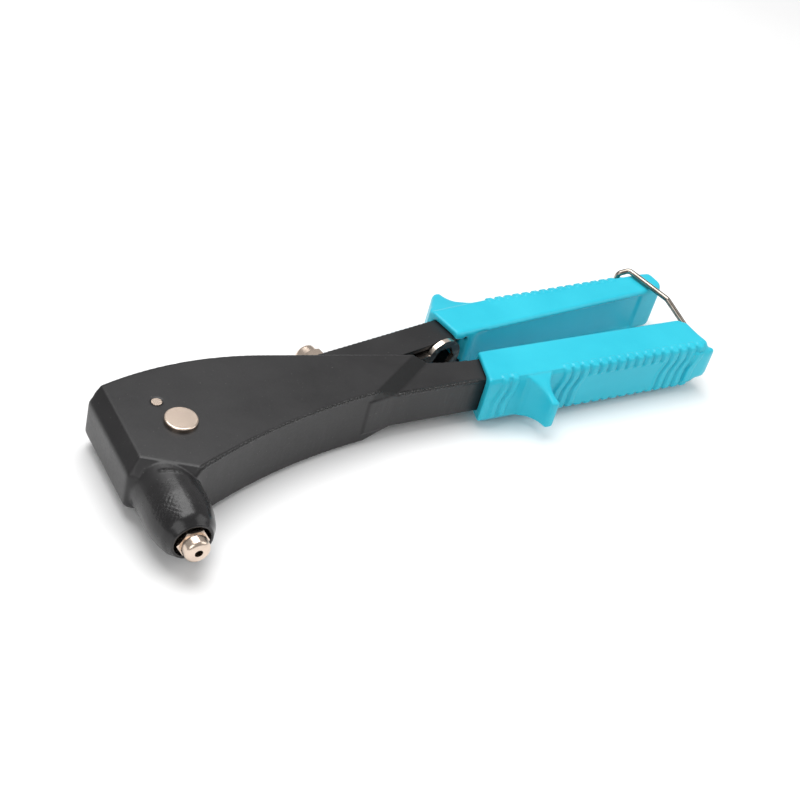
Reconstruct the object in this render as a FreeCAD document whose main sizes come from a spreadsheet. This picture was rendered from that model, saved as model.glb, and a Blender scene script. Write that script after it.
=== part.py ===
import FreeCAD, Part

import math
import os
import string

import Sketcher

# Hand riveter, lying on its side. Millimetres, +Z up.
# Origin: centre of the nosepiece's mouth. The nose points along -Y, the handles run along +X,
# and z = 0 is the middle plane of both handles.

doc = FreeCAD.newDocument("hand_riveter")
Vector = FreeCAD.Vector
Rotation = FreeCAD.Rotation
Placement = FreeCAD.Placement
Z_AXIS = Vector(0, 0, 1)

# ---------------------------------------------------------------- driving dimensions

DIMENSIONS = {
    # head, arm and sheet
    "head_half": 11.0,
    "cavity_half": 8.0,
    "arm_half": 7.2,
    "sheet_thick": 2.2,
    "ramp_run": 4.5,
    "end_chamfer": 4.5,
    # pivot
    "pivot_x": 11.1,
    "pivot_y": 46.1,
    "pin_radius": 4.0,
    "pin_head_radius": 5.6,
    "pin_head_thick": 1.5,
    "retainer_thick": 1.4,
    "boss_radius": 6.5,
    "running_fit": 0.05,
    "washer_radius": 6.4,
    # stop pins
    "stop_x": 7.0,
    "stop_y": 56.8,
    "stop_radius": 1.75,
    # nosepiece
    "nose_bore": 1.35,
    "nose_tip_radius": 4.4,
    "nose_tip_length": 4.2,
    "nose_hex_flats": 9.5,
    "nose_hex_thick": 5.0,
    "nose_thread_radius": 3.95,
    "nose_length": 16.4,
    # barrel
    "barrel_radius": 10.8,
    "barrel_mouth": 4.9,
    "barrel_bore": 6.6,
    "barrel_shoulder": 15.0,
    # jaw carriage at rest: the fork's tip sits in the neck's gap
    "fork_angle": 19.0,
    "fork_tip_radius": 3.5,
    "fork_arm_width": 4.2,
    "neck_gap": 7.5,
    "neck_radius": 4.3,
    "case_radius": 6.5,
    "case_bore": 5.2,
    "case_front": 24.0,
    "case_rear": 42.0,
    "case_mouth": 3.4,
    "case_cone_length": 8.0,
    "rod_bore": 1.9,
    "collar_thick": 3.5,
    "jaw_length": 7.0,
    "jaw_grip_radius": 1.1,
    "jaw_angle": 112.0,
    "pusher_length": 2.0,
    "spring_length": 5.0,
    "spring_wire": 0.4,
    # grips, in their own frame: x along the handle, y outwards
    "grip_half": 9.87,
    "grip_round": 2.0,
    "dish_half": 8.1,
    "relief_half": 6.9,
    "guard_half": 9.2,
    "nub_half": 5.5,
    "front_nub_half": 6.8,
    "lug_half": 4.0,
    "bail_x": 89.5,
    "bail_y": 13.9,
    "bail_fit": 0.1,
    "bail_clearance": 0.3,
    "bail_lug_clearance": 0.6,
    "bail_bend": 2.0,
    "wire_radius": 1.1,
    # where the grips sit
    "front_grip_x": 131.5,
    "front_grip_y": 58.1,
    "rear_grip_x": 128.6,
    "rear_grip_y": 67.7,
    "rear_grip_turn": 4.8,
    # spare nosepieces on the lever's back
    "web_start_x": 24.0,
    "web_start_y": 63.3,
    "web_turn": 9.6,
    "spare_pitch": 13.7,
    "spare_first": 24.3,
    # wrench
    "wrench_x": 123.4,
    "wrench_y": 68.2,
    "wrench_turn": 11.5,
    "wrench_radius": 8.2,
    "wrench_thick": 1.8,
    "wrench_socket": 9.7,
    "wrench_shank_half": 4.0,
    "clip_near": 34.0,
    "clip_far": 42.0,
    "clip_sheet": 0.9,
    "clip_base": 6.0,
    "clip_edge": 0.1,
    "clip_lip": 0.7,
    "clip_hook": 1.0,
}

# Outlines: corners in order, and the bend radius of the edge that leaves the corner
# (positive bends left, negative bends right, absent is straight).
OUTLINES = {
    "head": [(-12.0, 30.9), (-5.0, 27.2), (7.0, 22.9), (14.0, 26.0, -220.0), (90.3, 44.6), (111.2, 58.5),
             (66.1, 68.3), (50.1, 71.7, 115.0), (-12.0, 67.1)],
    "front_arm": [(80.0, 43.2), (90.3, 44.6), (97.0, 45.0), (217.0, 45.0), (217.0, 56.2),
                  (129.7, 56.2), (117.4, 57.4), (111.2, 58.5), (90.0, 60.0)],
    "cavity": [(-8.0, 33.6), (-2.0, 30.4), (7.0, 27.2), (14.0, 29.4, -220.0), (77.5, 46.0),
               (100.0, 60.6), (106.0, 90.0), (-8.0, 90.0)],
    "arm_channel": [(70.0, 46.6), (97.0, 47.2), (230.0, 47.2), (230.0, 70.0), (100.0, 90.0), (70.0, 90.0)],
    "lever": [(11.1, 46.1), (18.67, 60.65), (24.0, 63.3), (127.5, 80.75), (217.43, 85.39), (218.11, 77.32),
              (128.44, 69.59), (104.8, 64.8), (19.0, 41.3), (14.35, 40.47)],
    "lever_channel": [(-10.0, 30.0), (230.0, 30.0), (230.0, 83.83), (127.9, 78.57), (24.4, 61.1),
                      (24.4, 75.0), (-10.0, 75.0)],
    "front_grip": [(0.0, 0.0), (92.5, 0.2), (95.9, 3.0), (97.1, 12.4), (98.2, 14.4), (96.0, 17.4),
                   (-4.8, 17.4)],
    "front_guard": [(4.5, 14.0), (8.0, 15.6, 12.0), (16.7, 28.9), (20.6, 28.6, 9.5), (25.0, 15.5),
                    (25.5, 14.0)],
    "front_nub": [(88.0, 14.6), (99.6, 14.6), (101.0, 15.6), (100.8, 17.2), (98.5, 18.4), (90.0, 18.4),
                  (86.0, 16.0)],
    "front_lug": [(90.0, 4.8), (97.4, 4.8), (98.9, 6.6), (98.9, 9.2), (90.0, 9.2)],
    "front_slot": [(-20.0, 1.85), (86.0, 1.85), (86.0, 13.15), (-20.0, 13.15)],
    "front_web": [(-20.0, 10.85), (86.0, 10.85), (86.0, 13.15), (-20.0, 13.15)],
    "front_dish": [(8.0, -5.0), (91.0, -5.0), (91.0, -1.0), (88.5, 1.1), (10.0, 1.1), (8.0, -1.0)],
    "rear_grip": [(0.0, 0.0), (101.5, 0.4), (104.6, 3.6), (104.2, 11.4), (78.0, 12.9), (45.0, 14.6),
                  (22.0, 16.0), (-2.0, 16.0)],
    "rear_guard": [(-1.5, 14.0), (-1.5, 16.5), (6.6, 26.2), (8.5, 27.4), (10.8, 26.9, 9.2), (19.0, 15.6),
                   (20.0, 14.0)],
    "rear_nub": [(80.0, 11.0), (97.0, 11.0), (97.0, 15.0), (93.0, 16.6), (86.0, 16.6), (82.0, 14.8)],
    "rear_slot": [(-20.0, 1.8), (90.5, 2.05), (90.5, 10.25), (-20.0, 13.8)],
    "rear_web": [(-20.0, 11.49), (90.5, 7.95), (90.5, 10.25), (-20.0, 13.8)],
    "rear_relief": [(-20.0, -5.0), (5.6, -5.0), (5.6, 2.4), (-20.0, 2.4)],
    "rear_throat": [(-20.0, -5.0), (4.2, -5.0), (4.2, 11.4), (-20.0, 12.0)],
    "rear_dish": [(8.0, -5.0), (95.0, -5.0), (95.0, -1.0), (91.0, 1.1), (10.0, 1.1), (8.0, -1.0)],
}


class Size:
    """A length with its value and the spreadsheet expression that gives it."""

    def __init__(self, value, text):
        self.value = float(value)
        self.text = text

    def __add__(self, other):
        other = as_size(other)
        return Size(self.value + other.value, f"({self.text} + {other.text})")

    def __sub__(self, other):
        other = as_size(other)
        return Size(self.value - other.value, f"({self.text} - {other.text})")

    def __mul__(self, other):
        other = as_size(other)
        return Size(self.value * other.value, f"({self.text} * {other.text})")

    def __truediv__(self, other):
        other = as_size(other)
        return Size(self.value / other.value, f"({self.text} / {other.text})")

    def __radd__(self, other):
        return as_size(other) + self

    def __rsub__(self, other):
        return as_size(other) - self

    def __rmul__(self, other):
        return as_size(other) * self

    def __neg__(self):
        return as_size(0.0) - self


def as_size(number):
    if isinstance(number, Size):
        return number
    return Size(number, f"({float(number)})")


def make_sheet():
    """Put every driving dimension and outline corner in its own named cell."""
    sheet = doc.addObject("Spreadsheet::Sheet", "Sizes")
    cells = dict(DIMENSIONS)
    for name, corners in OUTLINES.items():
        for letter, corner in zip(string.ascii_lowercase, corners):
            for axis, number in zip(("x", "y", "bend"), corner):
                cells[f"{name}_{letter}_{axis}"] = number
    for row, (alias, number) in enumerate(cells.items(), start=1):
        sheet.set(f"A{row}", alias)
        sheet.set(f"B{row}", str(number))
        sheet.setAlias(f"B{row}", alias)
    doc.recompute()
    return {alias: Size(number, f"Sizes.{alias}") for alias, number in cells.items()}


size = make_sheet()


def outline_corners(name):
    """The named outline's corners as sizes."""
    corners = []
    for letter, corner in zip(string.ascii_lowercase, OUTLINES[name]):
        axes = ("x", "y", "bend")[:len(corner)]
        corners.append(tuple(size[f"{name}_{letter}_{axis}"] for axis in axes))
    return corners


# ---------------------------------------------------------------- sketch and feature helpers

def new_body(label):
    body = doc.addObject("PartDesign::Body", label)
    body.Label = label
    return body


def new_sketch(body, name, role="XY_Plane", offset=None):
    sketch = body.newObject("Sketcher::SketchObject", name)
    plane = next(item for item in body.Origin.OriginFeatures if item.Role == role)
    sketch.AttachmentSupport = [(plane, "")]
    sketch.MapMode = "FlatFace"
    if offset is not None:
        sketch.setExpression("AttachmentOffset.Base.z", offset.text)
    return sketch


def bound_constraint(sketch, name, amount, *terms):
    """Add a dimension that follows the spreadsheet."""
    index = sketch.addConstraint(Sketcher.Constraint(*terms, amount.value))
    sketch.renameConstraint(index, name)
    sketch.setExpression(f"Constraints.{name}", amount.text)


def draw_outline(sketch, corners):
    """A closed outline. A corner is (x, y), or (x, y, bend) where the edge that leaves it is an arc."""
    corners = [tuple(as_size(item) for item in corner) for corner in corners]
    ends = []
    for index, corner in enumerate(corners):
        after = corners[(index + 1) % len(corners)]
        start = Vector(corner[0].value, corner[1].value, 0)
        end = Vector(after[0].value, after[1].value, 0)
        if len(corner) == 2:
            edge = sketch.addGeometry(Part.LineSegment(start, end), False)
            ends.append((edge, 1, 2))
            continue
        bend = corner[2].value
        chord = end - start
        left = Vector(-chord.y, chord.x, 0).normalize()
        reach = math.sqrt(bend * bend - chord.Length ** 2 / 4) * math.copysign(1, bend)
        centre = start + chord * 0.5 + left * reach
        first, last = (start, end) if bend > 0 else (end, start)
        angles = [math.atan2(point.y - centre.y, point.x - centre.x) for point in (first, last)]
        arc = Part.ArcOfCircle(Part.Circle(centre, Z_AXIS, abs(bend)), *angles)
        edge = sketch.addGeometry(arc, False)
        ends.append((edge, 1, 2) if bend > 0 else (edge, 2, 1))
        positive = corner[2] if bend > 0 else -corner[2]
        bound_constraint(sketch, f"bend_{index}", positive, "Radius", edge)
    for index, (edge, start_point, end_point) in enumerate(ends):
        next_edge, next_start, _ = ends[(index + 1) % len(ends)]
        sketch.addConstraint(Sketcher.Constraint("Coincident", edge, end_point, next_edge, next_start))
        across, along = corners[index][0], corners[index][1]
        bound_constraint(sketch, f"x_{index}", across, "DistanceX", -1, 1, edge, start_point)
        bound_constraint(sketch, f"y_{index}", along, "DistanceY", -1, 1, edge, start_point)
    return sketch


def draw_circle(sketch, name, across, along, radius):
    across, along, radius = as_size(across), as_size(along), as_size(radius)
    circle = Part.Circle(Vector(across.value, along.value, 0), Z_AXIS, radius.value)
    edge = sketch.addGeometry(circle, False)
    bound_constraint(sketch, f"{name}_radius", radius, "Radius", edge)
    bound_constraint(sketch, f"{name}_x", across, "DistanceX", -1, 1, edge, 3)
    bound_constraint(sketch, f"{name}_y", along, "DistanceY", -1, 1, edge, 3)
    return sketch


def draw_hexagon(sketch, flats):
    """A hexagon about the sketch's origin, given across its flats."""
    corner_reach = flats / math.sqrt(3.0)
    corners = []
    for step in range(6):
        turn = math.radians(60 * step)
        corners.append((corner_reach * math.cos(turn), corner_reach * math.sin(turn)))
    return draw_outline(sketch, corners)


def extrude(body, sketch, length, kind="Pad", symmetric=True, reverse=False):
    feature = body.newObject(f"PartDesign::{kind}", f"{sketch.Name}_{kind}")
    feature.Profile = sketch
    feature.SideType = "Symmetric" if symmetric else "One side"
    feature.Reversed = reverse
    feature.setExpression("Length", length.text)
    doc.recompute()
    return feature


def turn_about_y(body, sketch, kind="Revolution", angle=360.0, symmetric=False):
    feature = body.newObject(f"PartDesign::{kind}", f"{sketch.Name}_{kind}")
    feature.Profile = sketch
    feature.ReferenceAxis = (sketch, ["V_Axis"])
    feature.Midplane = symmetric
    if isinstance(angle, Size):
        feature.setExpression("Angle", angle.text)
    else:
        feature.Angle = angle
    doc.recompute()
    return feature


def edges_where(shape, test):
    """Names of the edges whose middle point passes the test."""
    names = []
    for number, edge in enumerate(shape.Edges, start=1):
        middle = edge.valueAt((edge.FirstParameter + edge.LastParameter) / 2)
        if test(middle):
            names.append(f"Edge{number}")
    return names


def round_edges(body, test, radius):
    base = body.Tip
    names = edges_where(base.Shape, test)
    feature = body.newObject("PartDesign::Fillet", f"{body.Name}_Fillet")
    feature.Base = (base, names)
    feature.setExpression("Radius", as_size(radius).text)
    doc.recompute()
    return feature


def place(piece, across, along, turn, flip=False):
    """Bind a piece's place and its turn about Z to the spreadsheet; a flip turns it about X first."""
    if flip:
        piece.Placement = Placement(Vector(0, 0, 0), Rotation(Vector(1, 0, 0), 180))
    else:
        piece.Placement = Placement(Vector(0, 0, 0), Rotation(Z_AXIS, as_size(turn).value))
        piece.setExpression("Placement.Rotation.Angle", as_size(turn).text)
    piece.setExpression("Placement.Base.x", as_size(across).text)
    piece.setExpression("Placement.Base.y", as_size(along).text)


pivot = (size["pivot_x"], size["pivot_y"])
rest_lift = size["pivot_y"] + size["pivot_x"] * math.sin(math.radians(DIMENSIONS["fork_angle"]))

# ---------------------------------------------------------------- casting: head, barrel and front arm

def make_casting():
    body = new_body("body_casting")
    head_half = size["head_half"]
    extrude(body, draw_outline(new_sketch(body, "HeadOutline"), outline_corners("head")), head_half * 2)

    # the slanted end of the head ramps down to the arm's sides
    ramp = body.newObject("PartDesign::Chamfer", "Ramp")
    corner_low, corner_high = OUTLINES["head"][4], OUTLINES["head"][5]
    middle_x = (corner_low[0] + corner_high[0]) / 2
    middle_y = (corner_low[1] + corner_high[1]) / 2

    def on_ramp(middle):
        return abs(middle.x - middle_x) < 1 and abs(middle.y - middle_y) < 1 and abs(middle.z) > 10

    base = doc.getObject("HeadOutline_Pad")
    ramp.Base = (base, edges_where(base.Shape, on_ramp))
    ramp.ChamferType = "Two distances"
    ramp.setExpression("Size", (head_half - size["arm_half"]).text)
    ramp.setExpression("Size2", size["ramp_run"].text)
    doc.recompute()

    # the head's left end is chamfered
    def on_left_end(middle):
        flat = abs(abs(middle.z) - head_half.value) < 0.01
        return flat and middle.x < -4.5 and not (middle.y < 29 and middle.x > -6)

    chamfer = body.newObject("PartDesign::Chamfer", "LeftEnd")
    chamfer.Base = (ramp, edges_where(ramp.Shape, on_left_end))
    chamfer.setExpression("Size", size["end_chamfer"].text)
    doc.recompute()

    arm = draw_outline(new_sketch(body, "ArmOutline"), outline_corners("front_arm"))
    extrude(body, arm, size["arm_half"] * 2)

    # barrel, a bullet shape about the Y axis
    radius, mouth = size["barrel_radius"], size["barrel_mouth"]
    barrel = [
        (0.0, mouth), (radius - 3.9, mouth), (radius - 3.0, mouth + 1.5, 6.0),
        (radius - 1.5, mouth + 4.4, 30.0), (radius, mouth + 15.0), (radius, 33.0), (radius - 2.5, 42.0),
        (0.0, 42.0)]
    turn_about_y(body, draw_outline(new_sketch(body, "BarrelProfile"), barrel))

    cavity = draw_outline(new_sketch(body, "CavityOutline"), outline_corners("cavity"))
    extrude(body, cavity, size["cavity_half"] * 2, "Pocket")
    channel = draw_outline(new_sketch(body, "ChannelOutline"), outline_corners("arm_channel"))
    extrude(body, channel, (size["arm_half"] - size["sheet_thick"]) * 2, "Pocket")

    # stepped bore: hexagon recess, thread, carriage bore
    hex_seat = size["nose_tip_length"] + size["nose_hex_thick"]
    bore = [
        (0.0, 2.0), (6.1, 2.0), (5.8, hex_seat), (size["nose_thread_radius"], hex_seat),
        (size["nose_thread_radius"], size["barrel_shoulder"]), (size["barrel_bore"], size["barrel_shoulder"]),
        (size["barrel_bore"], 43.0), (0.0, 43.0)]
    turn_about_y(body, draw_outline(new_sketch(body, "BoreProfile"), bore), "Groove")

    holes = new_sketch(body, "PinHoles")
    draw_circle(holes, "pivot", *pivot, size["pin_radius"])
    draw_circle(holes, "stop", size["stop_x"], size["stop_y"], size["stop_radius"])
    extrude(body, holes, head_half * 2 + 1.0, "Pocket")
    seat = draw_circle(new_sketch(body, "RetainerSeat", offset=-head_half), "seat", *pivot,
                       size["pin_head_radius"])
    extrude(body, seat, size["retainer_thick"] * 2, "Pocket")


# ---------------------------------------------------------------- nosepieces

def make_nosepiece(label, bore, tip, length):
    """A nosepiece with its domed tip towards -Y and its hexagon's front face at the tip's length."""
    body = new_body(label)
    front = size["nose_tip_length"]
    seat = front + size["nose_hex_thick"]
    start = front - length
    thread = size["nose_thread_radius"] - size["running_fit"] / 2
    end = size["nose_length"]
    # domed tip, body behind the hexagon, thread, and a countersunk inner end
    profile = [
        (bore, start), (tip - 1.3, start, 1.6), (tip - 0.1, start + 1.2), (tip, front), (tip, seat),
        (thread, seat + 0.1), (thread, end - 2.6), (bore + 0.9, end), (bore + 0.4, end), (bore, end - 1.0)]
    turn_about_y(body, draw_outline(new_sketch(body, f"{label}_Profile"), profile))
    hexagon = draw_hexagon(new_sketch(body, f"{label}_Hexagon", "XZ_Plane", -seat), size["nose_hex_flats"])
    draw_circle(hexagon, "core", 0.0, 0.0, tip - 0.5)
    extrude(body, hexagon, size["nose_hex_thick"], symmetric=False)
    # the hexagon's front corners are turned off
    corner = size["nose_hex_flats"] * (1 / math.sqrt(3.0))
    trim = [(corner - 0.7, front - 0.1), (corner + 0.3, front - 0.1), (corner + 0.3, front + 0.6)]
    turn_about_y(body, draw_outline(new_sketch(body, f"{label}_Trim"), trim), "Groove")
    return body


def make_spares():
    """Three spare nosepieces in a row, screwed into the lever's back."""
    turn = size["web_turn"]
    seat = DIMENSIONS["nose_tip_length"] + DIMENSIONS["nose_hex_thick"]
    along = Rotation(Z_AXIS, DIMENSIONS["web_turn"])
    spares = {
        "spare_nosepiece_24": (0.85, 3.6, 2.4),
        "spare_nosepiece_32": (1.05, 3.6, 2.4),
        "spare_nosepiece_48": (1.55, 4.4, 4.2)}
    for index, (label, sizes) in enumerate(spares.items()):
        body = make_nosepiece(label, *(as_size(item) for item in sizes))
        reach = DIMENSIONS["spare_first"] + index * DIMENSIONS["spare_pitch"]
        base = Vector(DIMENSIONS["web_start_x"], DIMENSIONS["web_start_y"], 0)
        tip = base + along.multVec(Vector(reach, seat, 0))
        place(body, tip.x, tip.y, turn + 180.0)


# ---------------------------------------------------------------- pivot and stops

def make_pivot():
    head_half = size["head_half"]
    pin = new_body("pivot_pin")
    shank = draw_circle(new_sketch(pin, "PinShank"), "shank", *pivot, size["pin_radius"])
    extrude(pin, shank, head_half * 2)
    head = draw_circle(new_sketch(pin, "PinHead", offset=head_half), "head", *pivot, size["pin_head_radius"])
    extrude(pin, head, size["pin_head_thick"], symmetric=False)
    top = DIMENSIONS["head_half"] + DIMENSIONS["pin_head_thick"]
    round_edges(pin, lambda middle: abs(middle.z - top) < 0.01, 0.5)

    retainer = new_body("pivot_retainer")
    ring = new_sketch(retainer, "RetainerRing", offset=-head_half)
    draw_circle(ring, "outer", *pivot, size["pin_head_radius"])
    draw_circle(ring, "inner", *pivot, size["pin_radius"])
    extrude(retainer, ring, size["retainer_thick"], symmetric=False)


def primitive(kind, name, **bindings):
    """A Part primitive whose properties are bound to sizes."""
    item = doc.addObject(f"Part::{kind}", name)
    for prop, amount in bindings.items():
        item.setExpression(prop, as_size(amount).text)
    return item


def cylinder(name, across, along, low, radius, height):
    item = primitive("Cylinder", name, Radius=radius, Height=height)
    item.setExpression("Placement.Base.x", as_size(across).text)
    item.setExpression("Placement.Base.y", as_size(along).text)
    item.setExpression("Placement.Base.z", as_size(low).text)
    return item


def join(label, members):
    """Separate solids that share one node."""
    group = doc.addObject("Part::MultiFuse", label)
    group.Shapes = members
    group.Label = label
    doc.recompute()
    return group


def make_stop_pins():
    inner = size["arm_half"] - size["sheet_thick"]
    height = size["head_half"] - inner
    where = (size["stop_x"], size["stop_y"])
    pins = [
        cylinder("StopPinTop", *where, inner, size["stop_radius"], height),
        cylinder("StopPinUnder", *where, -size["head_half"], size["stop_radius"], height)]
    join("stop_pins", pins)


def make_washers():
    fit = size["running_fit"]
    thick = size["cavity_half"] - size["arm_half"] - fit
    lows = {"Top": size["arm_half"] + fit, "Under": -size["cavity_half"]}
    rings = []
    for side, low in lows.items():
        disc = cylinder(f"WasherDisc{side}", *pivot, low, size["washer_radius"], thick)
        hole = cylinder(f"WasherHole{side}", *pivot, low - 1.0, size["pin_radius"], thick + 2.0)
        ring = doc.addObject("Part::Cut", f"Washer{side}")
        ring.Base = disc
        ring.Tool = hole
        rings.append(ring)
    join("pivot_washers", rings)


# ---------------------------------------------------------------- lever

def make_lever():
    body = new_body("lever")
    full = size["arm_half"] * 2
    inside = (size["arm_half"] - size["sheet_thick"]) * 2
    extrude(body, draw_outline(new_sketch(body, "LeverOutline"), outline_corners("lever")), full)
    boss = draw_circle(new_sketch(body, "LeverBoss"), "boss", *pivot, size["boss_radius"])
    extrude(body, boss, full)

    # fork: a narrow arm and a round tip that works in the carriage's neck
    turn = math.radians(180 - DIMENSIONS["fork_angle"])
    ahead = (math.cos(turn), math.sin(turn))
    aside = (-ahead[1], ahead[0])
    tip = tuple(pivot[axis] + size["pivot_x"] * ahead[axis] for axis in (0, 1))
    half = size["fork_arm_width"] / 2
    arm = []
    for centre, side in ((pivot, -1), (tip, -1), (tip, 1), (pivot, 1)):
        arm.append(tuple(centre[axis] + half * (side * aside[axis]) for axis in (0, 1)))
    extrude(body, draw_outline(new_sketch(body, "ForkArm"), arm), full)
    fork_tip = draw_circle(new_sketch(body, "ForkTip"), "tip", *tip, size["fork_tip_radius"])
    extrude(body, fork_tip, full)

    channel = draw_outline(new_sketch(body, "LeverChannel"), outline_corners("lever_channel"))
    extrude(body, channel, inside, "Pocket")
    hole = draw_circle(new_sketch(body, "LeverPivotHole"), "hole", *pivot,
                       size["pin_radius"] + size["running_fit"])
    extrude(body, hole, full + 1.0, "Pocket")

    # threaded holes for the spare nosepieces, square to the lever's back
    holes = new_sketch(body, "SpareHoles", "XZ_Plane")
    start = Vector(DIMENSIONS["web_start_x"], DIMENSIONS["web_start_y"], 0)
    holes.AttachmentOffset = Placement(
        Vector(start.x, 0, -start.y), Rotation(Vector(0, 1, 0), DIMENSIONS["web_turn"]))
    for index in range(3):
        reach = size["spare_first"] + size["spare_pitch"] * index
        draw_circle(holes, f"spare_{index}", reach, 0.0, size["nose_thread_radius"])
    extrude(body, holes, size["sheet_thick"] * 2 + 1.0, "Pocket")


# ---------------------------------------------------------------- grips

def make_grip(side):
    """One grip, moulded round the arm's end: x along the handle from its mouth, y outwards."""
    body = new_body(f"{side}_grip")
    half = size["grip_half"]
    arm, sheet = size["arm_half"], size["sheet_thick"]

    def shape(name, thick, kind="Pad"):
        sketch = draw_outline(new_sketch(body, f"{side}_{name}_sketch"), outline_corners(f"{side}_{name}"))
        return extrude(body, sketch, thick, kind)

    shape("grip", half * 2)

    def long_edge(middle):
        return abs(abs(middle.z) - half.value) < 0.01 and middle.x > 1

    round_edges(body, long_edge, size["grip_round"])
    shape("guard", size["guard_half"] * 2)
    if side == "front":
        shape("nub", size["front_nub_half"] * 2)
        shape("lug", size["lug_half"] * 2)
    else:
        shape("nub", size["nub_half"] * 2)

    # slots for the arm's two sides and its web, and a shallow dish in the inner face
    fit = size["running_fit"]
    for face, low in (("top", arm - sheet - fit), ("under", -arm - fit)):
        slot = new_sketch(body, f"{side}_slot_{face}", offset=low)
        draw_outline(slot, outline_corners(f"{side}_slot"))
        extrude(body, slot, sheet + fit * 2, "Pocket", symmetric=False, reverse=True)
    shape("web", (arm + fit) * 2, "Pocket")
    shape("dish", size["dish_half"] * 2, "Pocket")

    if side == "rear":
        # room for the wrench's ring in the mouth, and an open channel behind it
        shape("relief", size["relief_half"] * 2, "Pocket")
        shape("throat", (arm - sheet) * 2, "Pocket")
        hole = draw_circle(new_sketch(body, "BailHole"), "hole", size["bail_x"], size["bail_y"],
                           size["wire_radius"] + size["bail_fit"])
        extrude(body, hole, half * 2, "Pocket")
    return body


# ---------------------------------------------------------------- jaw carriage

def make_carriage():
    rear = size["case_rear"]
    outer, bore, mouth = size["case_radius"], size["case_bore"], size["case_mouth"]
    front, cone = size["case_front"], size["case_cone_length"]
    gap_front = rest_lift - size["neck_gap"] / 2
    gap_rear = rest_lift + size["neck_gap"] / 2

    case = new_body("jaw_case")
    profile = [(mouth, front), (outer - 0.8, front), (outer, front + 0.8), (outer, rear), (bore, rear),
               (bore, front + cone)]
    turn_about_y(case, draw_outline(new_sketch(case, "CaseProfile"), profile))

    plug = front + 0.5 + size["jaw_length"] + size["pusher_length"] + size["spring_length"]
    neck, hollow = size["neck_radius"], size["rod_bore"]
    stud = neck - 0.5
    end = gap_rear + size["collar_thick"]
    rod = new_body("pull_rod")
    profile = [(hollow, plug), (bore, plug), (bore, rear), (outer, rear), (outer, gap_front),
               (neck, gap_front), (neck, gap_rear), (stud, gap_rear), (stud, end), (hollow + 0.8, end),
               (hollow, end - 0.8)]
    turn_about_y(rod, draw_outline(new_sketch(rod, "RodProfile"), profile))

    collar = new_body("collar_nut")
    profile = [(stud, gap_rear), (outer, gap_rear), (outer, end - 0.6), (outer - 0.6, end), (stud, end)]
    turn_about_y(collar, draw_outline(new_sketch(collar, "CollarProfile"), profile))


def make_jaws():
    front, cone = size["case_front"] + 0.5, size["case_cone_length"]
    slope = (size["case_bore"] - size["case_mouth"]) / cone
    length, grip = size["jaw_length"], size["jaw_grip_radius"]
    fit = size["running_fit"]
    thin = size["case_mouth"] + slope * 0.5 - fit
    thick = size["case_mouth"] + slope * (length + 0.5) - fit
    for index in range(3):
        jaw = new_body(f"jaw_{index + 1}")
        profile = [(grip, front), (thin, front), (thick, front + length), (grip + 0.9, front + length),
                   (grip, front + length - 0.9)]
        sketch = draw_outline(new_sketch(jaw, f"JawProfile{index}"), profile)
        turn_about_y(jaw, sketch, angle=size["jaw_angle"], symmetric=True)
        jaw.Placement = Placement(Vector(0, 0, 0), Rotation(Vector(0, 1, 0), 120 * index))

    start = front + length
    outer = size["case_bore"] - fit * 2
    pusher = new_body("jaw_pusher")
    profile = [(size["rod_bore"], start + 0.05), (grip + 1.2, start + 0.05), (outer, start + 0.9),
               (outer, start + size["pusher_length"]), (size["rod_bore"], start + size["pusher_length"])]
    turn_about_y(pusher, draw_outline(new_sketch(pusher, "PusherProfile"), profile))

    spring = new_body("pusher_spring")
    wire = size["spring_wire"]
    low = start + size["pusher_length"] + wire + 0.05
    coil = draw_circle(new_sketch(spring, "SpringWire"), "wire", 4.1, low, wire)
    helix = spring.newObject("PartDesign::AdditiveHelix", "SpringHelix")
    helix.Profile = coil
    helix.ReferenceAxis = (coil, ["V_Axis"])
    helix.Mode = "height-turns-angle"
    helix.setExpression("Height", (size["spring_length"] - wire * 2 - 0.1).text)
    helix.Turns = 3.0
    doc.recompute()


# ---------------------------------------------------------------- wrench and its clip

def make_wrench():
    wrench = new_body("wrench")
    thick, radius, shank = size["wrench_thick"], size["wrench_radius"], size["wrench_shank_half"]
    gap = size["running_fit"]
    ring = new_sketch(wrench, "WrenchRing", "XZ_Plane", gap)
    extrude(wrench, draw_circle(ring, "ring", 0.0, 0.0, radius), thick, symmetric=False)
    neck = [(-12.0, -thick - gap), (-5.8, -thick - gap), (-5.8, -gap), (-7.6, thick), (-45.0, thick),
            (-46.0, 1.0), (-45.0, 0.2), (-12.0, 0.2)]
    extrude(wrench, draw_outline(new_sketch(wrench, "WrenchShank"), neck), shank * 2)
    socket = new_sketch(wrench, "WrenchSocket", "XZ_Plane", -gap)
    extrude(wrench, draw_hexagon(socket, size["wrench_socket"]), thick * 3, "Pocket")
    place(wrench, size["wrench_x"], size["wrench_y"], size["wrench_turn"])

    clip = new_body("wrench_clip")
    near, far, sheet = size["clip_near"], size["clip_far"], size["clip_sheet"]
    outside = size["arm_half"] - size["sheet_thick"]
    inside = outside - sheet
    base, edge, lip = size["clip_base"], size["clip_edge"], -size["clip_lip"]
    hook = inside - size["clip_hook"]
    profile = [(base, -outside), (base, outside), (lip, outside), (lip, hook), (edge, hook), (edge, inside),
               (base - sheet, inside), (base - sheet, -inside), (edge, -inside), (edge, -hook), (lip, -hook),
               (lip, -outside)]
    sketch = draw_outline(new_sketch(clip, "ClipProfile", "YZ_Plane", -far), profile)
    extrude(clip, sketch, far - near, symmetric=False)
    place(clip, size["wrench_x"], size["wrench_y"], size["wrench_turn"])


# ---------------------------------------------------------------- handle bail

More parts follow.
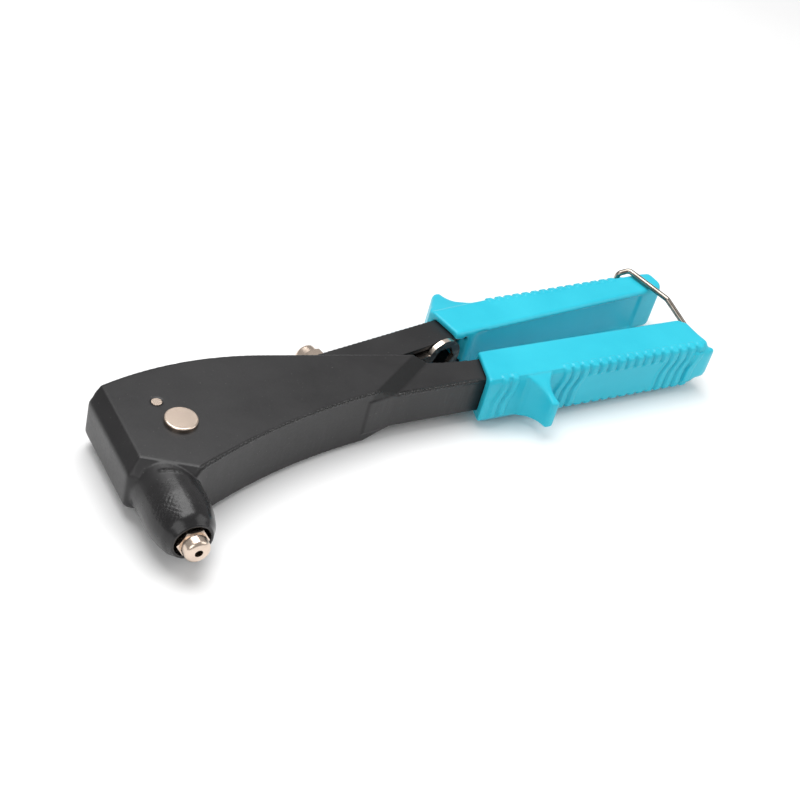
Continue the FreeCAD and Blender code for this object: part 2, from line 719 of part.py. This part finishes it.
def rounded_path(points, bend):
    """Straight runs joined by tangent arcs of one radius."""
    edges = []
    here = points[0]
    for before, corner, after in zip(points, points[1:], points[2:]):
        back = (before - corner).normalize()
        ahead = (after - corner).normalize()
        half_turn = (math.pi - back.getAngle(ahead)) / 2
        setback = bend * math.tan(half_turn)
        start = corner + back * setback
        end = corner + ahead * setback
        inward = (back + ahead).normalize()
        centre_reach = bend / math.cos(half_turn)
        middle = corner + inward * (centre_reach - bend)
        edges.append(Part.LineSegment(here, start).toShape())
        edges.append(Part.Arc(start, middle, end).toShape())
        here = end
    edges.append(Part.LineSegment(here, points[-1]).toShape())
    return Part.Wire(edges)


def make_bail():
    """Wire loop: pivot bar through the rear grip's nub, cross-bar over the front grip's end."""
    turn = math.radians(DIMENSIONS["rear_grip_turn"])
    x, y = DIMENSIONS["bail_x"], DIMENSIONS["bail_y"]
    bar_x = DIMENSIONS["rear_grip_x"] + x * math.cos(turn) - y * math.sin(turn)
    bar_y = DIMENSIONS["rear_grip_y"] + x * math.sin(turn) + y * math.cos(turn)
    radius = DIMENSIONS["wire_radius"]
    side = DIMENSIONS["grip_half"] + radius + DIMENSIONS["bail_clearance"]
    narrow = DIMENSIONS["lug_half"] + radius + DIMENSIONS["bail_lug_clearance"]
    route = [
        Vector(0, 0, 0), Vector(0, 0, side - 1.6), Vector(4.2, -1.1, side), Vector(9.2, -21.1, side),
        Vector(12.8, -31.5, narrow), Vector(13.6, -42.8, narrow), Vector(13.6, -42.8, 0)]
    halves = []
    for sign in (1, -1):
        path = rounded_path([Vector(point.x, point.y, sign * point.z) for point in route],
                            DIMENSIONS["bail_bend"])
        ring = Part.Wire(Part.Circle(route[0], Z_AXIS, radius).toShape())
        halves.append(path.makePipeShell([ring], True, True))
    loop = halves[0].fuse(halves[1]).removeSplitter()
    bail = doc.addObject("Part::Feature", "handle_bail")
    bail.Label = "handle_bail"
    bail.Shape = loop.Solids[0]
    bail.Placement = Placement(Vector(bar_x, bar_y, 0), Rotation(0, 0, 0, 1))


# ---------------------------------------------------------------- assembly

make_casting()
make_nosepiece("nosepiece", size["nose_bore"], size["nose_tip_radius"], size["nose_tip_length"])
make_pivot()
make_stop_pins()
make_washers()
place(make_grip("front"), size["front_grip_x"], size["front_grip_y"], 0.0, flip=True)
make_lever()
place(make_grip("rear"), size["rear_grip_x"], size["rear_grip_y"], size["rear_grip_turn"])
make_spares()
make_wrench()
make_carriage()
make_jaws()
make_bail()
doc.recompute()

NODES = [
    "body_casting", "nosepiece", "pivot_pin", "pivot_retainer", "pivot_washers", "stop_pins", "front_grip",
    "lever", "rear_grip", "spare_nosepiece_24", "spare_nosepiece_32", "spare_nosepiece_48", "wrench",
    "wrench_clip", "jaw_case", "pull_rod", "collar_nut", "jaw_1", "jaw_2", "jaw_3", "jaw_pusher",
    "pusher_spring", "handle_bail"]

for item in doc.Objects:
    if "Invalid" in item.State or "Error" in item.State:
        raise RuntimeError(f"{item.Name} failed: {item.State}")

os.makedirs("parts", exist_ok=True)
for node in NODES:
    shape = doc.getObjectsByLabel(node)[0].Shape
    if shape.isNull() or not shape.isValid():
        raise RuntimeError(f"{node} has no valid shape")
    shape.exportStep(f"parts/{node}.step")
    print(f"{node}: {len(shape.Solids)} solid(s), {shape.Volume:.1f} mm3, {shape.BoundBox}")
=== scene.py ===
import math

import bpy
import numpy as np
from mathutils import Matrix, Vector


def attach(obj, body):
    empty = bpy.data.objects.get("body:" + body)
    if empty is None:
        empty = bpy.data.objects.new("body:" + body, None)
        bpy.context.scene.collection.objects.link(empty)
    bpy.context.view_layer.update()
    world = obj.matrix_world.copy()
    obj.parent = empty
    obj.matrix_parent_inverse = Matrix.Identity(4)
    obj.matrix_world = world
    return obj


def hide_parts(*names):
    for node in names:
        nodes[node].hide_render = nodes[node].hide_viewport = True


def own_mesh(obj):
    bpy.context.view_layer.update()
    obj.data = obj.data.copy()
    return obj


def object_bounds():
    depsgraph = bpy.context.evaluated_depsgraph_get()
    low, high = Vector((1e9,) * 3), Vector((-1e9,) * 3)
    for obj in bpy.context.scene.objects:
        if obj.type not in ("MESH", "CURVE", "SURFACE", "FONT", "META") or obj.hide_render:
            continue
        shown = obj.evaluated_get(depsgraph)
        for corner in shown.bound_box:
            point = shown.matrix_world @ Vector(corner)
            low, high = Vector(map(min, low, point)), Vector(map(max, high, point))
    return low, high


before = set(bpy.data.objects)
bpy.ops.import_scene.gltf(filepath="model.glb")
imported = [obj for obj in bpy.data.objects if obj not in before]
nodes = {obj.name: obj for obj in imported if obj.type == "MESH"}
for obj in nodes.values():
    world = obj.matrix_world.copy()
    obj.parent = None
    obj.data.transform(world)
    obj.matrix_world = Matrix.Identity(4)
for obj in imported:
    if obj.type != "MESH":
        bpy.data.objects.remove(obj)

MM = 0.001

# where the grips sit and turn, and how far out their outer walls are, in millimetres
FRONT_X, FRONT_Y, FRONT_WALL = 131.5, 58.1, 17.2
REAR_X, REAR_Y, REAR_TURN = 128.6, 67.7, math.radians(4.8)
REAR_WALL_ALONG = (22.0, 45.0, 78.0, 104.0)
REAR_WALL = (16.0, 14.6, 12.9, 11.4)
# the cross ribs
RIB_PITCH = 4.2
RIB_FIRST = 29.5
# the guards reach this far along the grips
GUARD_END = 40.0
# the casting's ramp, and the barrel
RAMP_START, RAMP_END = (90.3, 44.6), (111.2, 58.5)
BARREL_REACH = 12.0
# the top edge of the head's outer face
EDGE_X = (-5.0, 7.0, 14.0, 30.0, 45.0, 60.0, 75.0, 90.3, 97.0, 130.0)
EDGE_Y = (27.2, 22.9, 26.0, 31.9, 36.4, 40.0, 42.7, 44.6, 45.0, 45.0)
# voxel sizes and smoothing passes
GRIP_VOXEL, GRIP_PASSES = 0.36, 5
METAL_VOXEL, METAL_PASSES = 0.36, 6
cad_low, cad_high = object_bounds()
rng = np.random.default_rng(7)

# ---------------------------------------------------------------- shader helpers


class Shader:
    """A Principled material with small helpers for procedural detail. Scales are given in millimetres."""

    def __init__(self, name):
        self.material = bpy.data.materials.new(name)
        self.material.use_nodes = True
        self.tree = self.material.node_tree
        self.surface = self.tree.nodes["Principled BSDF"]
        coordinates = self.tree.nodes.new("ShaderNodeTexCoord")
        self.place = coordinates.outputs["Object"]
        self.normal = self.tree.nodes.new("ShaderNodeNewGeometry")

    def link(self, source, target):
        self.tree.links.new(source, target)

    def stretched(self, scale):
        mapping = self.tree.nodes.new("ShaderNodeMapping")
        mapping.inputs["Scale"].default_value = scale
        self.link(self.place, mapping.inputs["Vector"])
        return mapping.outputs["Vector"]

    def noise(self, size_mm, detail=4.0, rough=0.55, place=None):
        node = self.tree.nodes.new("ShaderNodeTexNoise")
        node.inputs["Scale"].default_value = 1.0 / (size_mm * MM)
        node.inputs["Detail"].default_value = detail
        node.inputs["Roughness"].default_value = rough
        self.link(place or self.place, node.inputs["Vector"])
        return node.outputs["Fac"]

    def ramp(self, source, low, high, to_low=0.0, to_high=1.0):
        node = self.tree.nodes.new("ShaderNodeMapRange")
        node.inputs["From Min"].default_value = low
        node.inputs["From Max"].default_value = high
        node.inputs["To Min"].default_value = to_low
        node.inputs["To Max"].default_value = to_high
        self.link(source, node.inputs["Value"])
        return node.outputs["Result"]

    def math(self, operation, first, second):
        node = self.tree.nodes.new("ShaderNodeMath")
        node.operation = operation
        for socket, value in zip(node.inputs, (first, second)):
            if isinstance(value, (int, float)):
                socket.default_value = value
            else:
                self.link(value, socket)
        return node.outputs["Value"]

    def mix(self, factor, first, second):
        node = self.tree.nodes.new("ShaderNodeMix")
        node.data_type = "RGBA"
        self.link(factor, node.inputs["Factor"])
        for socket, value in ((node.inputs[6], first), (node.inputs[7], second)):
            if isinstance(value, tuple):
                socket.default_value = (*value, 1.0)
            else:
                self.link(value, socket)
        return node.outputs[2]

    def facing(self, direction):
        """How far the surface faces a direction, -1 to 1."""
        dot = self.tree.nodes.new("ShaderNodeVectorMath")
        dot.operation = "DOT_PRODUCT"
        dot.inputs[1].default_value = Vector(direction).normalized()
        self.link(self.normal.outputs["Normal"], dot.inputs[0])
        return dot.outputs["Value"]

    def axis(self, letter):
        split = self.tree.nodes.new("ShaderNodeSeparateXYZ")
        self.link(self.place, split.inputs["Vector"])
        return split.outputs[letter]

    def attribute(self, name):
        """A value painted on the mesh's points; 0 where the mesh has none."""
        node = self.tree.nodes.new("ShaderNodeAttribute")
        node.attribute_name = name
        return node.outputs["Fac"]

    def bump(self, height, depth_mm, strength=1.0, under=None):
        node = self.tree.nodes.new("ShaderNodeBump")
        node.inputs["Strength"].default_value = strength
        node.inputs["Distance"].default_value = depth_mm * MM
        self.link(height, node.inputs["Height"])
        if under is not None:
            self.link(under, node.inputs["Normal"])
        return node.outputs["Normal"]

    def finish(self, color, roughness, normal, metallic=0.0, **constants):
        self.link(color, self.surface.inputs["Base Color"])
        self.link(roughness, self.surface.inputs["Roughness"])
        self.link(normal, self.surface.inputs["Normal"])
        self.surface.inputs["Metallic"].default_value = metallic
        for socket, value in constants.items():
            self.surface.inputs[socket.replace("_", " ")].default_value = value
        return self.material


def black_paint(name, dark, light):
    """Satin black enamel with orange peel, faint grinding streaks on the outer faces and dusty specks."""
    shader = Shader(name)
    cloud = shader.noise(22.0, 3.0)
    fine = shader.noise(0.9, 3.0, 0.5)
    streak = shader.noise(1.1, 4.0, 0.65, shader.stretched((1.0, 1.0, 0.09)))
    worn = shader.ramp(shader.noise(14.0, 2.0), 0.42, 0.62)
    side = shader.ramp(shader.facing((0.2, -1.0, 0.0)), 0.55, 0.9)
    streak_mask = shader.math("MULTIPLY", side, worn)
    streak_mask = shader.math("MULTIPLY", streak_mask, shader.ramp(streak, 0.48, 0.72))
    color = shader.mix(shader.ramp(cloud, 0.35, 0.7), dark, light)
    color = shader.mix(shader.math("MULTIPLY", streak_mask, 0.7), color, tuple(c * 2.4 for c in light))
    speck = shader.ramp(shader.noise(0.55, 1.0, 0.4), 0.76, 0.79)
    color = shader.mix(shader.math("MULTIPLY", speck, 0.35), color, (0.22, 0.21, 0.20))
    rough = shader.math("ADD", shader.ramp(cloud, 0.3, 0.7, 0.36, 0.46),
                        shader.ramp(fine, 0.3, 0.7, -0.03, 0.04))
    rough = shader.math("ADD", rough, shader.math("MULTIPLY", streak_mask, 0.1))
    gloss = shader.attribute("gloss")
    # painted shade: the slanted ramp is painted deep black for the dark it shows at this angle, and its
    # paint is made rougher
    ramp_shade = shader.attribute("ramp_shade")
    color = shader.mix(ramp_shade, color, (0.0035, 0.0034, 0.0036))
    rough = shader.math("ADD", rough, shader.math("MULTIPLY", ramp_shade, 0.12))
    # painted shade and painted highlights: the lip mask darkens the edge bead like a shaded groove and
    # sprinkles painted glints on it; the barrel patch gets the same at half strength
    lip = shader.attribute("lip")
    glint = shader.ramp(shader.noise(0.5, 2.0, 0.6), 0.62, 0.72)
    color = shader.mix(shader.math("MULTIPLY", lip, 0.85), color, (0.006, 0.006, 0.006))
    painted_glints = shader.math("MULTIPLY", shader.math("MULTIPLY", lip, glint), 0.5)
    color = shader.mix(painted_glints, color, (0.30, 0.29, 0.28))
    smoother = shader.math("MULTIPLY", shader.math("MAXIMUM", gloss, lip), -0.17)
    rough = shader.math("ADD", rough, smoother)
    normal = shader.bump(fine, 0.035, 0.55)
    normal = shader.bump(shader.noise(3.2, 2.0), 0.09, 0.5, normal)
    rough_skin = shader.math("MULTIPLY", lip, shader.noise(0.7, 4.0, 0.7))
    normal = shader.bump(rough_skin, 0.5, 0.9, normal)
    return shader.finish(color, rough, normal, Specular_IOR_Level=0.37,
                         Coat_Weight=0.12, Coat_Roughness=0.2)


def grip_plastic(name):
    """Turquoise moulded plastic: semi-gloss, with faint flow marks and handling wear."""
    shader = Shader(name)
    cloud = shader.noise(26.0, 3.0)
    mottle = shader.noise(5.0, 3.0)
    grain = shader.noise(0.45, 2.0, 0.5)
    color = shader.mix(shader.ramp(cloud, 0.3, 0.7), (0.016, 0.46, 0.60), (0.026, 0.52, 0.66))
    color = shader.mix(shader.ramp(mottle, 0.62, 0.8, 0.0, 0.25), color, (0.04, 0.57, 0.70))
    dirt = shader.ramp(shader.noise(0.7, 1.0, 0.4), 0.77, 0.8, 0.0, 0.3)
    color = shader.mix(dirt, color, (0.02, 0.20, 0.26))
    scuff = shader.noise(2.2, 5.0, 0.7, shader.stretched((0.12, 1.0, 1.0)))
    rough = shader.math("ADD", shader.ramp(cloud, 0.3, 0.7, 0.30, 0.38),
                        shader.ramp(scuff, 0.55, 0.75, 0.0, 0.10))
    normal = shader.bump(grain, 0.012, 0.5)
    normal = shader.bump(mottle, 0.05, 0.4, normal)
    return shader.finish(color, rough, normal, Specular_IOR_Level=0.32, Subsurface_Weight=0.06,
                         Subsurface_Radius=(0.0006, 0.0016, 0.002), Subsurface_Scale=1.0)


def metal(name, color, tarnish, rough_low, rough_high, lines=(1.0, 1.0, 1.0), grainy=1.0):
    """Bare or plated metal with tarnish patches, dark spots and fine grain, drawn out where lines says."""
    shader = Shader(name)
    cloud = shader.noise(4.0, 4.0)
    grain = shader.noise(0.5, 3.0, 0.6, shader.stretched(lines))
    mixed = shader.mix(shader.ramp(cloud, 0.4, 0.72), color, tarnish)
    spot = shader.ramp(shader.noise(0.8, 2.0, 0.5), 0.74, 0.80, 0.0, 0.35)
    mixed = shader.mix(spot, mixed, tuple(c * 0.35 for c in tarnish))
    rough = shader.math("ADD", shader.ramp(cloud, 0.3, 0.7, rough_low, rough_high),
                        shader.ramp(grain, 0.35, 0.65, -0.03 * grainy, 0.05 * grainy))
    normal = shader.bump(grain, 0.004 * grainy, 0.4)
    return shader.finish(mixed, rough, normal, 1.0)


def wrench_metal(name):
    """Nickel rim with darker, oxidised flat faces."""
    shader = Shader(name)
    cloud = shader.noise(3.0, 4.0)
    grain = shader.noise(0.3, 3.0, 0.6)
    facing = shader.math("ABSOLUTE", shader.facing((0.2, -0.98, 0.0)), 0.0)
    dark = shader.math("MULTIPLY", shader.ramp(facing, 0.8, 0.95), shader.ramp(cloud, 0.2, 0.5, 0.8, 1.0))
    # painted shade: the shank is painted dark for the deep shade it sits in inside the clip
    shank_painted_shade = shader.ramp(shader.axis("X"), 0.1145, 0.1185, 0.85, 0.0)
    dark = shader.math("MAXIMUM", dark, shank_painted_shade)
    color = shader.mix(dark, (0.80, 0.70, 0.61), (0.045, 0.043, 0.045))
    rough = shader.math("ADD", shader.ramp(facing, 0.8, 0.95, 0.2, 0.42),
                        shader.ramp(grain, 0.3, 0.7, -0.03, 0.05))
    return shader.finish(color, rough, shader.bump(grain, 0.02, 0.5), 0.95)


MATERIALS = {
    "black": black_paint("black_paint_satin", (0.0095, 0.0090, 0.0097), (0.0155, 0.0148, 0.0155)),
    "grip": grip_plastic("turquoise_plastic"),
    "nickel": metal("warm_nickel", (0.73, 0.60, 0.50), (0.64, 0.52, 0.43), 0.20, 0.26, grainy=0.12),
    "zinc": metal("zinc_plate", (0.66, 0.66, 0.65), (0.50, 0.50, 0.47), 0.32, 0.45),
    "hard": metal("black_oxide", (0.24, 0.23, 0.23), (0.12, 0.11, 0.11), 0.34, 0.5),
    "spring": metal("drawn_wire", (0.36, 0.32, 0.28), (0.20, 0.17, 0.14), 0.12, 0.22, (1.0, 1.0, 0.2)),
    "wrench": wrench_metal("wrench_nickel"),
}
NODE_MATERIALS = {
    "body_casting": "black", "lever": "black", "front_grip": "grip", "rear_grip": "grip",
    "nosepiece": "nickel", "pivot_pin": "nickel", "pivot_retainer": "nickel", "stop_pins": "nickel",
    "spare_nosepiece_24": "nickel", "spare_nosepiece_32": "nickel", "spare_nosepiece_48": "nickel",
    "pivot_washers": "zinc", "collar_nut": "zinc", "jaw_case": "hard", "pull_rod": "hard", "jaw_1": "hard",
    "jaw_2": "hard", "jaw_3": "hard", "jaw_pusher": "hard", "pusher_spring": "spring",
    "handle_bail": "spring", "wrench_clip": "spring", "wrench": "wrench",
}
for node, look in NODE_MATERIALS.items():
    for slot in nodes[node].material_slots:
        slot.material = MATERIALS[look]

# ---------------------------------------------------------------- moulded and cast pieces


def remade(node, name, voxel_mm, passes):
    """A softer-edged solid of a CAD node's shape, meshed evenly so that relief can be pressed into it."""
    source = nodes[node]
    mesh = source.data.copy()
    piece = bpy.data.objects.new(name, mesh)
    bpy.context.scene.collection.objects.link(piece)
    remesh = piece.modifiers.new("even", "REMESH")
    remesh.mode = "VOXEL"
    remesh.voxel_size = voxel_mm * MM
    smooth = piece.modifiers.new("soft", "SMOOTH")
    smooth.factor = 0.5
    smooth.iterations = passes
    graph = bpy.context.evaluated_depsgraph_get()
    made = bpy.data.meshes.new_from_object(piece.evaluated_get(graph))
    piece.modifiers.clear()
    piece.data = made
    made.name = name
    bpy.data.meshes.remove(mesh)
    return piece


def points_and_normals(mesh):
    count = len(mesh.vertices)
    points = np.empty(count * 3)
    normals = np.empty(count * 3)
    mesh.vertices.foreach_get("co", points)
    mesh.vertex_normals.foreach_get("vector", normals)
    return points.reshape(-1, 3), normals.reshape(-1, 3)


def set_points(mesh, points):
    mesh.vertices.foreach_set("co", points.reshape(-1))
    mesh.update()


def shade(piece, look, body, node):
    mesh = piece.data
    mesh.materials.clear()
    mesh.materials.append(MATERIALS[look])
    mesh.shade_smooth()
    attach(piece, body)
    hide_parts(node)


def paint(mesh, name, values):
    layer = mesh.attributes.new(name, "FLOAT", "POINT")
    layer.data.foreach_set("value", np.clip(values, 0.0, 1.0).astype(np.float32))


def step(value, low, high):
    """0 below low, 1 above high, eased between."""
    share = np.clip((value - low) / (high - low), 0.0, 1.0)
    return share * share * (3.0 - 2.0 * share)


def slanted(along, up):
    """The ribs run straight across, with a slanted run above the middle."""
    return along + 2.2 * step(-up, -6.0, 1.5)


def ribs(along, up, first, last):
    """Height of the cross ribs, in millimetres."""
    place = slanted(along, up)
    phase = (place - RIB_FIRST) / RIB_PITCH
    distance = np.abs(phase - np.round(phase)) * RIB_PITCH
    wave = 1.0 - step(distance, 1.15, 1.50)
    return wave * step(place, first - 1.6, first - 1.2) * (1.0 - step(place, last + 1.2, last + 1.6))


def panel(along, up, left, right):
    """1 inside the smooth panel."""
    place = slanted(along, up)
    inside = step(place, left, left + 0.5) * (1.0 - step(place, right - 0.5, right))
    return inside * (1.0 - step(up, 5.0, 5.5)) * step(up, -8.6, -8.1)


def soften(mesh, mask, passes):
    """Round off the masked region by moving each point towards the middle of its neighbours."""
    points, _ = points_and_normals(mesh)
    edges = np.empty(len(mesh.edges) * 2, dtype=np.int64)
    mesh.edges.foreach_get("vertices", edges)
    first, second = edges.reshape(-1, 2).T
    joined = np.bincount(first, minlength=len(points)) + np.bincount(second, minlength=len(points))
    for _ in range(passes):
        middle = np.empty_like(points)
        for axis in range(3):
            total = np.bincount(first, points[second, axis], len(points))
            total += np.bincount(second, points[first, axis], len(points))
            middle[:, axis] = total / joined
        points += (middle - points) * (0.6 * mask)[:, None]
    set_points(mesh, points)


def press_grip(piece, along, out, facing, wall, first, last, panel_left, panel_right, extra=()):
    """Press ribs and the panel into the grip's outer face. along and out are local coordinates in mm."""
    points, normals = points_and_normals(piece.data)
    up = points[:, 2] / MM
    outer = step(out - wall(along), -2.9, -2.3) * (1.0 - step(out - wall(along), 0.9, 1.4))
    outer *= step(facing, -0.15, 0.05)
    flat_face = step(facing, 0.55, 0.85)
    height = ribs(along, up, first, last)
    for centre in extra:
        place = slanted(along, up)
        ridge = 1.0 - step(np.abs(place - centre), 1.0, 1.35)
        height = np.maximum(height, ridge * step(up, -9.0, -6.5))
    flat = panel(along, up, panel_left, panel_right)
    height = height * (1.0 - flat) + 0.75 * flat
    rise = outer * (height * (0.30 + 0.65 * flat_face) - 0.25 * flat_face)
    set_points(piece.data, points + normals * (rise * MM)[:, None])


front = remade("front_grip", "front_grip_moulded", GRIP_VOXEL, GRIP_PASSES)
points, normals = points_and_normals(front.data)
front_along, front_out = points[:, 0] / MM - FRONT_X, FRONT_Y - points[:, 1] / MM
# the finger guard's upper corner slopes down to its tip
guard = np.clip((front_out - 16.5) / 12.0, 0.0, 1.0) * (front_along < GUARD_END)
points[:, 2] *= 1.0 - guard * np.where(points[:, 2] > 0.0, 0.50, 0.24)
set_points(front.data, points)
soften(front.data, step(front_out, 17.8, 20.5) * (front_along < GUARD_END), 30)
soften(front.data, step(front_along, 92.5, 96.0) * step(front_out, 3.0, 9.0), 45)
soften(front.data, 1.0 - step(front_along + 0.28 * front_out, 0.8, 3.2), 14)
points, normals = points_and_normals(front.data)
press_grip(front, points[:, 0] / MM - FRONT_X, FRONT_Y - points[:, 1] / MM, -normals[:, 1],
           lambda along: np.full_like(along, FRONT_WALL), 28.5, 93.5, 38.5, 76.0, (2.4, 6.6))
shade(front, "grip", "frame", "front_grip")

rear = remade("rear_grip", "rear_grip_moulded", GRIP_VOXEL, GRIP_PASSES)
points, normals = points_and_normals(rear.data)
turn_cos, turn_sin = math.cos(REAR_TURN), math.sin(REAR_TURN)
shift_x = points[:, 0] / MM - REAR_X
shift_y = points[:, 1] / MM - REAR_Y
rear_along = shift_x * turn_cos + shift_y * turn_sin
rear_out = shift_y * turn_cos - shift_x * turn_sin
guard = np.clip((rear_out - 16.0) / 11.0, 0.0, 1.0) * (rear_along < GUARD_END)
points[:, 2] *= 1.0 - 0.25 * guard
set_points(rear.data, points)
soften(rear.data, step(rear_out, 17.0, 19.5) * (rear_along < GUARD_END), 24)
soften(rear.data, 1.0 - step(rear_along + 0.13 * rear_out, 0.6, 2.6), 8)
soften(rear.data, step(rear_along, 99.0, 102.0), 30)
# the inner face's dish starts with an easy slope
dish_start = (1.0 - step(rear_out, 2.0, 3.0)) * step(rear_along, 3.0, 5.0)
dish_start *= 1.0 - step(rear_along, 13.0, 15.0)
soften(rear.data, dish_start, 40)
points, normals = points_and_normals(rear.data)
rear_facing = normals[:, 1] * turn_cos - normals[:, 0] * turn_sin
press_grip(rear, rear_along, rear_out, rear_facing,
           lambda along: np.interp(along, REAR_WALL_ALONG, REAR_WALL), 25.3, 84.0, 38.5, 72.0)
shade(rear, "grip", "lever", "rear_grip")

casting = remade("body_casting", "body_casting_cast", METAL_VOXEL, METAL_PASSES)
points, normals = points_and_normals(casting.data)
# the outer edges of the left end are rounded; its top edge stays crisp
soften(casting.data, step(-points[:, 0] / MM, 9.4, 10.8), 25)
points, normals = points_and_normals(casting.data)
x, y, z = (points[:, axis] / MM for axis in range(3))
# thick paint gathers in an uneven bead along the top edge of the outer face
edge_top = np.interp(x, (83.0, 95.0), (11.0, 7.2))
near_edge = 1.0 - step(np.abs(y - np.interp(x, EDGE_X, EDGE_Y) - 0.4), 0.3, 1.1)
near_edge *= step(z - edge_top, -1.2, -0.3) * step(x, -4.5, -3.0) * (1.0 - step(x, 124.0, 127.0))
lumps = 0.5 + 0.5 * np.sin(x * 3.1 + 1.7 * np.sin(x * 0.83)) * np.sin(x * 1.3 + 0.6)
rise = near_edge * (0.10 + 0.22 * lumps)
# a rough cast patch on the barrel, above its mouth
angle = np.arctan2(z, x)
patch = np.exp(-((angle - 2.15) / 0.42) ** 2 - ((y - 13.5) / 4.0) ** 2)
patch *= step(np.hypot(x, z), 8.0, 8.8) * (y < 23.0)
grit = rng.random(len(x)) - 0.5
rise += patch * (0.16 * grit + 0.10 * np.sin(x * 4.0) * np.sin(y * 3.3))
set_points(casting.data, points + normals * (rise * MM)[:, None])
# the lip mask also carries the painted shade and painted glints of the black paint
paint(casting.data, "lip", np.maximum(near_edge * (0.35 + 0.65 * lumps), 0.5 * patch))
barrel = (1.0 - step(y, 22.0, 26.0)) * (np.abs(x) < BARREL_REACH)
ramp_x, ramp_y = RAMP_END[0] - RAMP_START[0], RAMP_END[1] - RAMP_START[1]
from_ramp = ((x - RAMP_START[0]) * ramp_y - (y - RAMP_START[1]) * ramp_x) / math.hypot(ramp_x, ramp_y)
ramp = step(from_ramp, -4.9, -4.2) * (1.0 - step(from_ramp, 0.2, 0.9)) * (z > 7.4) * (y > 42.0)
paint(casting.data, "gloss", barrel)
# the ramp mask carries painted shade into the black paint
paint(casting.data, "ramp_shade", ramp)
shade(casting, "black", "frame", "body_casting")

lever = remade("lever", "lever_cast", METAL_VOXEL, METAL_PASSES)
shade(lever, "black", "lever", "lever")

# the coil is a copy of the CAD spring, moving with the jaw set
spring = bpy.data.objects.new("pusher_spring_wound", nodes["pusher_spring"].data.copy())
spring.matrix_world = nodes["pusher_spring"].matrix_world.copy()
bpy.context.scene.collection.objects.link(spring)
shade(spring, "spring", "jaw_set", "pusher_spring")
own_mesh(spring)

# ---------------------------------------------------------------- floor, light and camera

floor_mesh = bpy.data.meshes.new("floor")
reach = 6.0
level = cad_low.z - 0.0002
floor_mesh.from_pydata(
    [(-reach, -reach, level), (reach, -reach, level), (reach, reach, level), (-reach, reach, level)],
    [], [(0, 1, 2, 3)])
floor = bpy.data.objects.new("floor", floor_mesh)
bpy.context.scene.collection.objects.link(floor)
floor_shader = Shader("floor_paper")
floor_color = floor_shader.mix(floor_shader.noise(60.0, 2.0), (0.90, 0.90, 0.90), (0.93, 0.93, 0.93))
floor_shader.finish(floor_color, floor_shader.ramp(floor_shader.noise(8.0), 0.3, 0.7, 0.7, 0.8),
                    floor_shader.bump(floor_shader.noise(1.0), 0.01, 0.2))
floor.data.materials.append(floor_shader.material)

world = bpy.data.worlds.new("studio")
bpy.context.scene.world = world
world.use_nodes = True
world.node_tree.nodes["Background"].inputs["Color"].default_value = (1.0, 1.0, 1.0, 1.0)
world.node_tree.nodes["Background"].inputs["Strength"].default_value = 0.42


def area_light(name, place, aim, size, power):
    data = bpy.data.lights.new(name, "AREA")
    data.shape = "RECTANGLE"
    data.size, data.size_y = size
    data.energy = power
    lamp = bpy.data.objects.new(name, data)
    lamp.location = place
    lamp.rotation_euler = (Vector(aim) - Vector(place)).to_track_quat("-Z", "Y").to_euler()
    bpy.context.scene.collection.objects.link(lamp)


TARGET = (0.11, 0.05, 0.0)
area_light("key", (0.05, 0.25, 0.75), TARGET, (0.7, 0.6), 6.2)
area_light("fill", (-0.5, -0.35, 0.45), TARGET, (0.5, 0.5), 1.4)
area_light("side", (0.55, -0.25, 0.35), TARGET, (0.4, 0.5), 0.9)

camera_data = bpy.data.cameras.new("camera")
camera_data.lens = 70.44
camera_data.sensor_width = 36.0
camera_data.clip_start = 0.02
camera_data.clip_end = 20.0
camera = bpy.data.objects.new("camera", camera_data)
bpy.context.scene.collection.objects.link(camera)
right, above = Vector((0.8604, -0.4596, 0.2202)), Vector((0.1498, 0.6412, 0.7527))
behind = right.cross(above).normalized()
above = behind.cross(right).normalized()
turned = Matrix((right.normalized(), above, behind)).transposed().to_4x4()
camera.matrix_world = Matrix.Translation((-0.1704, -0.2875, 0.3403)) @ turned
bpy.context.scene.camera = camera
bpy.context.scene.view_settings.view_transform = "Standard"
